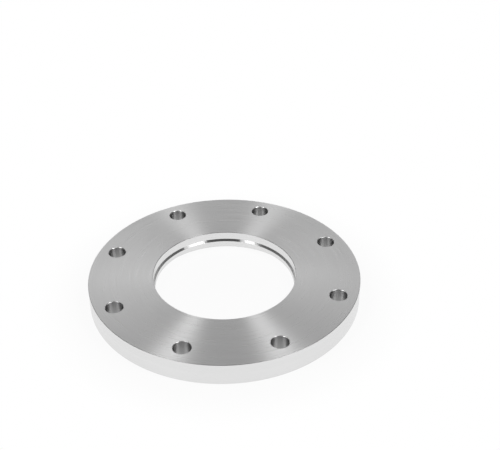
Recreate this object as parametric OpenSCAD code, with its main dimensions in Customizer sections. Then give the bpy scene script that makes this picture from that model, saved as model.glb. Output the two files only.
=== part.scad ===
// Plate flange: a flat steel ring, turned all over and drilled for bolts.
// Its bore has a straight socket in the upper face, a narrow throat, and a conical
// seal seat in the lower face. Millimetres, Z up, with the lower face on Z = 0.

/* [Plate] */
// Outside diameter of the ring
flange_d = 345; // [300:1:420]
// Thickness of the ring, face to face
plate_t = 29; // [26:0.5:45]
// Width of the broken edges round the rim and the bore's two mouths
edge_break = 0.5; // [0.2:0.1:1.5]

/* [Bolt holes] */
// Number of bolt holes, evenly spaced
bolt_count = 8; // [3:1:12]
// Distance from the ring's rim in to the centres of the bolt holes
rim_to_holes = 23.25; // [18:0.25:36]
// Diameter of each bolt hole
bolt_hole_d = 22.2; // [10:0.1:30]
// Width of the broken edge at both ends of each bolt hole
hole_break = 0.5; // [0.2:0.1:1.5]

/* [Socket in the upper face] */
// Diameter of the socket
socket_d = 182; // [179:0.2:220]
// Depth of the socket's straight wall, down to its bevelled shoulder
socket_depth = 10.5; // [6:0.5:13]
// Height of the bevel that leads from the socket's wall in to the throat
shoulder_h = 2.7; // [1:0.1:5]

/* [Throat] */
// Diameter of the throat, the narrowest part of the bore
throat_d = 177.8; // [160:0.2:181]

/* [Seal seat in the lower face] */
// Diameter of the seat's straight outer wall
seat_d = 197.5; // [186:0.5:212]
// Depth of the seat's straight outer wall, up to the start of its cone
seat_wall_h = 4; // [2:0.5:7]
// Slope of the seat's cone, in degrees above the lower face
seat_slope = 30; // [15:1:45]

/* [Hidden] */
$fn = 180;

// How far a cutting tool runs past the face it cuts
overrun = 1;
outer_r = flange_d / 2;
socket_r = socket_d / 2;
throat_r = throat_d / 2;
seat_r = seat_d / 2;
hole_r = bolt_hole_d / 2;

// The circle through the centres of the bolt holes follows the rim
bolt_circle_r = outer_r - rim_to_holes;

// Heights of the bore's corners above the lower face
cone_top_z = seat_wall_h + (seat_r - throat_r) * tan(seat_slope);
shoulder_top_z = plate_t - socket_depth;
shoulder_foot_z = shoulder_top_z - shoulder_h;

// The bolt holes straddle the X and Y axes, as pipe flanges are set up
first_hole_angle = 180 / bolt_count;

// Half of the ring's section, going round from the seat's mouth
section = [
    [seat_r + edge_break, 0],
    [outer_r - edge_break, 0],
    [outer_r, edge_break],
    [outer_r, plate_t - edge_break],
    [outer_r - edge_break, plate_t],
    [socket_r + edge_break, plate_t],
    [socket_r, plate_t - edge_break],
    [socket_r, shoulder_top_z],
    [throat_r, shoulder_foot_z],
    [throat_r, cone_top_z],
    [seat_r, seat_wall_h],
    [seat_r, edge_break]
];

// The solid that the lathe leaves, before drilling
module turned_ring() {
    rotate_extrude() polygon(section);
}

// Countersink that breaks a hole's edge, cutting down from Z = 0
module hole_bevel() {
    translate([0, 0, -hole_break])
        cylinder(r1 = hole_r, r2 = hole_r + hole_break + overrun, h = hole_break + overrun);
}

// One drilled hole through the plate, with both of its edges broken
module bolt_hole() {
    translate([0, 0, -overrun]) cylinder(r = hole_r, h = plate_t + 2 * overrun);
    translate([0, 0, plate_t]) hole_bevel();
    mirror([0, 0, 1]) hole_bevel();
}

module bolt_circle() {
    for (i = [0 : bolt_count - 1])
        rotate([0, 0, first_hole_angle + i * 360 / bolt_count])
            translate([bolt_circle_r, 0, 0]) bolt_hole();
}

module flange() {
    color([0.74, 0.75, 0.76]) difference() {
        turned_ring();
        bolt_circle();
    }
}

flange();
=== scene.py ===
import math

import bpy
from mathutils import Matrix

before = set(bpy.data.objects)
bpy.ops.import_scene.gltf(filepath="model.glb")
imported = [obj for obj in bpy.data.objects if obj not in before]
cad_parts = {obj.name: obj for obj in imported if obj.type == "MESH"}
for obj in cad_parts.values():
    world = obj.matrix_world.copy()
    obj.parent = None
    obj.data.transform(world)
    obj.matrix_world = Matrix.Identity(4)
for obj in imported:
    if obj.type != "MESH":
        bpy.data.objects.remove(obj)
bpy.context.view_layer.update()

# The flange, in metres, with its lower face on Z = 0 and its axis on Z
PLATE_T = 0.029
RIM_R = 0.1725
SEAT_R = 0.09875
EDGE_BREAK = 0.0005

# A surface lies on a face when it is this near to it
HAIR = 0.00001
# Plate kept clear of the rim and the bore when the holes' surfaces are picked out
HOLE_MARGIN = 0.002
# Points nearer than this are one point, and edges that turn more than this stay sharp
WELD = 0.000001
SHARP_DEG = 25

# Bare stainless steel, and how much its tone varies
STEEL = (0.78, 0.78, 0.78)
TONE_DARK = 0.965
TONE_LIGHT = 1.02

# Middle part of a noise's range, over which tone and roughness run from end to end
TONE_NOISE = (0.3, 0.7)
ROUGH_NOISE = (0.25, 0.75)
NOISE_DETAIL = 2

# Marks of the lathe: the distance between marks, and the angle in radians that one mark spans
FINE_MARKS = (0.0003, 0.5)
ARCS = (0.0006, 0.35)
RINGS = (0.0024, 3)

# Marks of the drill, so many to the metre: across the hole, and down it
DRILL_ACROSS = 120
DRILL_DOWN = 1500

# A full grain, set a quarter turn off the tangent, so that its grooves run along the tangent
GRAIN = 1.0
GRAIN_TURN = 0.25

# Each finish: its roughness, how far that varies, and the depth of its marks in metres.
# In the bolt holes it also has a tone, a share of the bare steel's colour. Below 1, as on the hole
# walls, it is painted shade in the holes
FACE_ROUGH = 0.3
FACE_SPREAD = 0.04
FACE_DEPTH = 0.00001
WALL_ROUGH = 0.17
WALL_SPREAD = 0.03
WALL_DEPTH = 0.000005
EDGE_ROUGH = 0.6
EDGE_SPREAD = 0.03
EDGE_DEPTH = 0.000005
HOLE_ROUGH = 0.36
HOLE_SPREAD = 0.05
HOLE_DEPTH = 0.000006
# Painted shade: the bolt holes' walls are darkened to this share of the steel's colour
HOLE_PAINTED_SHADE = 0.7
HOLE_EDGE_ROUGH = 0.3
HOLE_EDGE_SPREAD = 0.04
HOLE_EDGE_GRAIN = 0.0
HOLE_EDGE_TONE = 1

# The camera, in metres, degrees and millimetres
CAMERA_PLACE = (-0.04058, -1.00878, 0.79546)
CAMERA_TURN_DEG = (55.5435, 0.3795, -4.4364)
CAMERA_LENS_MM = 71.509
SENSOR_WIDTH_MM = 36

# The floor: half its width, its colour, the share of the shadow that shows near the flange,
# and the radii between which that share fades out
FLOOR_HALF = 60
FLOOR_TONE = 0.9
SHADOW_SHARE = 0.07
SHADOW_FADE = (0.17, 0.25)

# The studio's light by direction. Each span is a range of a unit vector's X, Y or Z.
# Dim grey, from behind the camera forwards, by Y
DIM_SPAN = (-1, 0.4)
DIM_GREY = (0.07, 0.165)
# A pale wall behind the flange, by Y: where it comes up, and its strength
RISE_SPAN = (0.73, 0.84)
RISE_GREY = 1.06
# The share of that wall that is left to either side, by X
MIDDLE_SPAN = (0.15, 0.6)
MIDDLE_SHARE = (1, 0.15)
# The white of the floor fades out just above the horizon, by Z
BAND_SPAN = (0.05, 0.15)

# Two lit panels, each of three soft boxes that lean outwards with height
BOX_AWAY = 1.6
BOX_HEIGHT = 0.393
# Of each box: its name, azimuth and elevation in degrees, width in metres, and radiance
SOFT_BOXES = (
    ("left_low", -43.5, 36, 0.574, 1.2),
    ("left_mid", -57, 50, 0.5, 3),
    ("left_high", -74, 64, 0.51, 5.5),
    ("right_low", 48.5, 36, 0.917, 1.2),
    ("right_mid", 50, 50, 0.58, 3),
    ("right_high", 65, 64, 0.51, 5.5),
)


def math_node(tree, operation, *values):
    """A Math node. Each value is a number or the output of another node."""
    node = tree.nodes.new("ShaderNodeMath")
    node.operation = operation
    for socket, value in zip(node.inputs, values):
        if isinstance(value, (int, float)):
            socket.default_value = value
        else:
            tree.links.new(value, socket)
    return node.outputs[0]


def ranged(tree, value, source, target, smooth=False):
    """Maps the range source on to the range target, with soft ends where it is smooth."""
    node = tree.nodes.new("ShaderNodeMapRange")
    if smooth:
        node.interpolation_type = "SMOOTHSTEP"
    tree.links.new(value, node.inputs["Value"])
    node.inputs["From Min"].default_value = source[0]
    node.inputs["From Max"].default_value = source[1]
    node.inputs["To Min"].default_value = target[0]
    node.inputs["To Max"].default_value = target[1]
    return node.outputs["Result"]


def across(tree, x, y):
    """Distance from the Z axis."""
    x_squared = math_node(tree, "MULTIPLY", x, x)
    y_squared = math_node(tree, "MULTIPLY", y, y)
    return math_node(tree, "SQRT", math_node(tree, "ADD", x_squared, y_squared))


def separated(tree, vector):
    """The X, Y and Z of a vector."""
    parts = tree.nodes.new("ShaderNodeSeparateXYZ")
    tree.links.new(vector, parts.inputs[0])
    return parts.outputs


def object_place(tree):
    """The shaded point's X, Y and Z on the object, in metres."""
    place = tree.nodes.new("ShaderNodeTexCoord")
    return separated(tree, place.outputs["Object"])


def noise_at(tree, x, y, z, w=None):
    """Noise at a place that is already scaled, with a fourth dimension where w is given."""
    vector = tree.nodes.new("ShaderNodeCombineXYZ")
    for socket, value in zip(vector.inputs, (x, y, z)):
        tree.links.new(value, socket)
    noise = tree.nodes.new("ShaderNodeTexNoise")
    noise.inputs["Scale"].default_value = 1
    noise.inputs["Detail"].default_value = NOISE_DETAIL
    tree.links.new(vector.outputs[0], noise.inputs["Vector"])
    if w is not None:
        noise.noise_dimensions = "4D"
        tree.links.new(w, noise.inputs["W"])
    return noise.outputs[0]


def lathe_marks(tree, pitch, run):
    """Noise drawn out round the Z axis, as the marks of a lathe tool are."""
    x, y, z = object_place(tree)
    radius = across(tree, x, y)
    turn = math_node(tree, "MULTIPLY", radius, run)
    return noise_at(tree,
                    math_node(tree, "MULTIPLY", radius, 1 / pitch),
                    math_node(tree, "MULTIPLY", z, 1 / pitch),
                    math_node(tree, "DIVIDE", x, turn),
                    math_node(tree, "DIVIDE", y, turn))


def drill_marks(tree):
    """Noise that is fine down a hole and drawn out round it."""
    x, y, z = object_place(tree)
    return noise_at(tree,
                    math_node(tree, "MULTIPLY", x, DRILL_ACROSS),
                    math_node(tree, "MULTIPLY", y, DRILL_ACROSS),
                    math_node(tree, "MULTIPLY", z, DRILL_DOWN))


def new_material(name):
    """A material with its node tree and its shader."""
    material = bpy.data.materials.new(name)
    material.use_nodes = True
    tree = material.node_tree
    return material, tree, tree.nodes["Principled BSDF"]


def steel(tree, shader, value, level=1):
    """Bare metal whose tone runs from dark to light with the value. A lower level is darker, which
    paints shade on to the metal, as in the bolt holes.
    """
    shader.inputs["Metallic"].default_value = 1
    mix = tree.nodes.new("ShaderNodeMix")
    mix.data_type = "RGBA"
    factor, dark, light = mix.inputs[0], mix.inputs[6], mix.inputs[7]
    tone = mix.outputs[2]
    tree.links.new(ranged(tree, value, TONE_NOISE, (0, 1)), factor)
    dark.default_value = (*[c * level * TONE_DARK for c in STEEL], 1)
    light.default_value = (*[c * level * TONE_LIGHT for c in STEEL], 1)
    tree.links.new(tone, shader.inputs["Base Color"])


def grained(tree, shader, grain, tangent):
    """Draws the reflections out across the grooves, which run along the tangent."""
    shader.inputs["Anisotropic"].default_value = grain
    shader.inputs["Anisotropic Rotation"].default_value = GRAIN_TURN
    tree.links.new(tangent, shader.inputs["Tangent"])


def worn(tree, shader, value, rough, spread):
    """Roughness that varies with the value, by the spread to either side."""
    level = ranged(tree, value, ROUGH_NOISE, (rough - spread, rough + spread))
    tree.links.new(level, shader.inputs["Roughness"])


def bump(tree, shader, height, depth):
    """Marks of this depth, in metres."""
    node = tree.nodes.new("ShaderNodeBump")
    node.inputs["Strength"].default_value = 1
    node.inputs["Distance"].default_value = depth
    tree.links.new(height, node.inputs["Height"])
    tree.links.new(node.outputs[0], shader.inputs["Normal"])


def turned_steel(name, rough, spread, depth):
    """Steel with the fine rings that a lathe leaves."""
    material, tree, shader = new_material(name)
    tangent = tree.nodes.new("ShaderNodeTangent")
    tangent.direction_type = "RADIAL"
    tangent.axis = "Z"
    grained(tree, shader, GRAIN, tangent.outputs[0])
    arcs = lathe_marks(tree, *ARCS)
    rings = lathe_marks(tree, *RINGS)
    mean = math_node(tree, "MULTIPLY", 0.5, math_node(tree, "ADD", arcs, rings))
    steel(tree, shader, mean)
    worn(tree, shader, arcs, rough, spread)
    bump(tree, shader, lathe_marks(tree, *FINE_MARKS), depth)
    return material


def drilled_steel(name, rough, spread, grain, level):
    """Steel with the marks of a drill or countersink, which run round each hole. A level below 1
    darkens it as painted shade.
    """
    material, tree, shader = new_material(name)
    place = tree.nodes.new("ShaderNodeNewGeometry")
    round_hole = tree.nodes.new("ShaderNodeVectorMath")
    round_hole.operation = "CROSS_PRODUCT"
    round_hole.inputs[0].default_value = (0, 0, 1)
    tree.links.new(place.outputs["Normal"], round_hole.inputs[1])
    grained(tree, shader, grain, round_hole.outputs[0])
    marks = drill_marks(tree)
    steel(tree, shader, marks, level)
    worn(tree, shader, marks, rough, spread)
    bump(tree, shader, marks, HOLE_DEPTH)
    return material


def compare(tree, operation, value, limit):
    """True where the value is above or below the limit."""
    node = tree.nodes.new("FunctionNodeCompare")
    node.data_type = "FLOAT"
    node.operation = operation
    tree.links.new(value, node.inputs["A"])
    node.inputs["B"].default_value = limit
    return node.outputs[0]


def boolean(tree, operation, a, b):
    """A Boolean Math node."""
    node = tree.nodes.new("FunctionNodeBooleanMath")
    node.operation = operation
    tree.links.new(a, node.inputs[0])
    tree.links.new(b, node.inputs[1])
    return node.outputs[0]


def between(tree, value, low, high):
    """True where the value is between the limits."""
    above = compare(tree, "GREATER_THAN", value, low)
    below = compare(tree, "LESS_THAN", value, high)
    return boolean(tree, "AND", above, below)


def painted(tree, mesh, chosen, material):
    """Gives the chosen facets this material."""
    node = tree.nodes.new("GeometryNodeSetMaterial")
    node.inputs["Material"].default_value = material
    tree.links.new(mesh, node.inputs["Geometry"])
    tree.links.new(chosen, node.inputs["Selection"])
    return node.outputs[0]


def smooth_walls(tree, mesh):
    """Round walls shade as round, and every real edge stays sharp."""
    welded = tree.nodes.new("GeometryNodeMergeByDistance")
    welded.inputs["Distance"].default_value = WELD
    tree.links.new(mesh, welded.inputs["Geometry"])
    angle = tree.nodes.new("GeometryNodeInputMeshEdgeAngle")
    sharp = compare(tree, "GREATER_THAN", angle.outputs["Unsigned Angle"], math.radians(SHARP_DEG))
    shaded = tree.nodes.new("GeometryNodeSetMeshNormal")
    shaded.mode = "SHARPNESS"
    tree.links.new(welded.outputs["Geometry"], shaded.inputs["Mesh"])
    tree.links.new(sharp, shaded.inputs["Edge Sharpness"])
    shaded.inputs["Face Sharpness"].default_value = False
    shaded.inputs["Remove Custom"].default_value = True
    return shaded.outputs["Mesh"]


def finished(tree, mesh):
    """Gives the walls, bevels and holes their own finishes, told apart by where they lie."""
    place = tree.nodes.new("GeometryNodeInputPosition")
    x, y, z = separated(tree, place.outputs[0])
    off_faces = between(tree, z, HAIR, PLATE_T - HAIR)
    off_bevels = between(tree, z, EDGE_BREAK - HAIR, PLATE_T - EDGE_BREAK + HAIR)
    on_bevels = boolean(tree, "NIMPLY", off_faces, off_bevels)
    in_holes = between(tree, across(tree, x, y), SEAT_R + HOLE_MARGIN, RIM_R - HOLE_MARGIN)

    wall = turned_steel("turned_wall", WALL_ROUGH, WALL_SPREAD, WALL_DEPTH)
    edge = turned_steel("turned_edge", EDGE_ROUGH, EDGE_SPREAD, EDGE_DEPTH)
    # The hole walls' steel is darkened here, which paints shade into the bolt holes
    hole_wall = drilled_steel("drilled_wall", HOLE_ROUGH, HOLE_SPREAD, GRAIN, HOLE_PAINTED_SHADE)
    hole_edge = drilled_steel("countersunk_edge", HOLE_EDGE_ROUGH, HOLE_EDGE_SPREAD, HOLE_EDGE_GRAIN,
                              HOLE_EDGE_TONE)
    mesh = painted(tree, mesh, off_bevels, wall)
    mesh = painted(tree, mesh, on_bevels, edge)
    mesh = painted(tree, mesh, boolean(tree, "AND", off_bevels, in_holes), hole_wall)
    return painted(tree, mesh, boolean(tree, "AND", on_bevels, in_holes), hole_edge)


def dress(flange):
    """The two faces keep the first finish, and every other surface gets its own."""
    face = turned_steel("turned_face", FACE_ROUGH, FACE_SPREAD, FACE_DEPTH)
    flange.material_slots[0].material = face
    tree = bpy.data.node_groups.new("finishes", "GeometryNodeTree")
    for way in ("INPUT", "OUTPUT"):
        tree.interface.new_socket("Geometry", in_out=way, socket_type="NodeSocketGeometry")
    start = tree.nodes.new("NodeGroupInput")
    end = tree.nodes.new("NodeGroupOutput")
    mesh = smooth_walls(tree, start.outputs[0])
    tree.links.new(finished(tree, mesh), end.inputs[0])
    modifier = flange.modifiers.new("finishes", "NODES")
    modifier.node_group = tree


def pale_floor():
    """White that keeps a small share of the shadow near the flange."""
    material, tree, shader = new_material("pale_floor")
    shader.inputs["Base Color"].default_value = (FLOOR_TONE, FLOOR_TONE, FLOOR_TONE, 1)
    shader.inputs["Roughness"].default_value = 1
    shader.inputs["Specular IOR Level"].default_value = 0
    white = tree.nodes.new("ShaderNodeEmission")
    path = tree.nodes.new("ShaderNodeLightPath")
    seen = math_node(tree, "MAXIMUM", path.outputs["Is Camera Ray"], path.outputs["Is Glossy Ray"])
    x, y = object_place(tree)[:2]
    share = ranged(tree, across(tree, x, y), SHADOW_FADE, (1 - SHADOW_SHARE, 1), smooth=True)
    mix = tree.nodes.new("ShaderNodeMixShader")
    tree.links.new(math_node(tree, "MULTIPLY", share, seen), mix.inputs[0])
    tree.links.new(shader.outputs[0], mix.inputs[1])
    tree.links.new(white.outputs[0], mix.inputs[2])
    tree.links.new(mix.outputs[0], tree.nodes["Material Output"].inputs["Surface"])
    return material


def floor_sheet():
    """A wide flat floor at the flange's foot."""
    signs = ((-1, -1), (1, -1), (1, 1), (-1, 1))
    corners = [(x * FLOOR_HALF, y * FLOOR_HALF, 0) for x, y in signs]
    mesh = bpy.data.meshes.new("floor")
    mesh.from_pydata(corners, [], [(0, 1, 2, 3)])
    floor = bpy.data.objects.new("floor", mesh)
    bpy.context.scene.collection.objects.link(floor)
    floor.data.materials.append(pale_floor())


def soft_box(name, azimuth, elevation, width, radiance):
    """A lamp of this radiance that faces the origin. Azimuth runs from -Y towards +X."""
    lamp = bpy.data.lights.new(name, "AREA")
    lamp.shape = "RECTANGLE"
    lamp.size = width
    lamp.size_y = BOX_HEIGHT
    lamp.energy = radiance * math.pi * width * BOX_HEIGHT
    obj = bpy.data.objects.new(name, lamp)
    bpy.context.scene.collection.objects.link(obj)
    turn = math.radians(azimuth)
    rise = math.radians(elevation)
    reach = BOX_AWAY * math.cos(rise)
    obj.location = (reach * math.sin(turn), -reach * math.cos(turn), BOX_AWAY * math.sin(rise))
    obj.rotation_euler = (math.radians(90) - rise, 0, turn)


def room():
    """The studio: dim behind the camera, paler behind the flange, white beyond the floor."""
    studio = bpy.data.worlds.new("studio")
    bpy.context.scene.world = studio
    studio.use_nodes = True
    tree = studio.node_tree
    direction = tree.nodes.new("ShaderNodeTexCoord")
    x, y, z = separated(tree, direction.outputs["Generated"])
    dim = ranged(tree, y, DIM_SPAN, DIM_GREY)
    rise = ranged(tree, y, RISE_SPAN, (0, RISE_GREY), smooth=True)
    middle = ranged(tree, math_node(tree, "ABSOLUTE", x), MIDDLE_SPAN, MIDDLE_SHARE, smooth=True)
    grey = math_node(tree, "ADD", dim, math_node(tree, "MULTIPLY", rise, middle))
    band = ranged(tree, z, BAND_SPAN, (1, 0), smooth=True)
    path = tree.nodes.new("ShaderNodeLightPath")
    pale = math_node(tree, "MAXIMUM", band, path.outputs["Is Camera Ray"])
    rest = math_node(tree, "MULTIPLY", grey, math_node(tree, "SUBTRACT", 1, pale))
    level = math_node(tree, "ADD", pale, rest)
    tree.links.new(level, tree.nodes["Background"].inputs["Color"])


def camera():
    """The camera, set where the photograph was taken from."""
    data = bpy.data.cameras.new("camera")
    data.lens = CAMERA_LENS_MM
    data.sensor_width = SENSOR_WIDTH_MM
    obj = bpy.data.objects.new("camera", data)
    obj.location = CAMERA_PLACE
    obj.rotation_euler = [math.radians(turn) for turn in CAMERA_TURN_DEG]
    bpy.context.scene.collection.objects.link(obj)
    bpy.context.scene.camera = obj


dress(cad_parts["flange"])
floor_sheet()
for box in SOFT_BOXES:
    soft_box(*box)
room()
camera()
bpy.context.scene.view_settings.view_transform = "Standard"
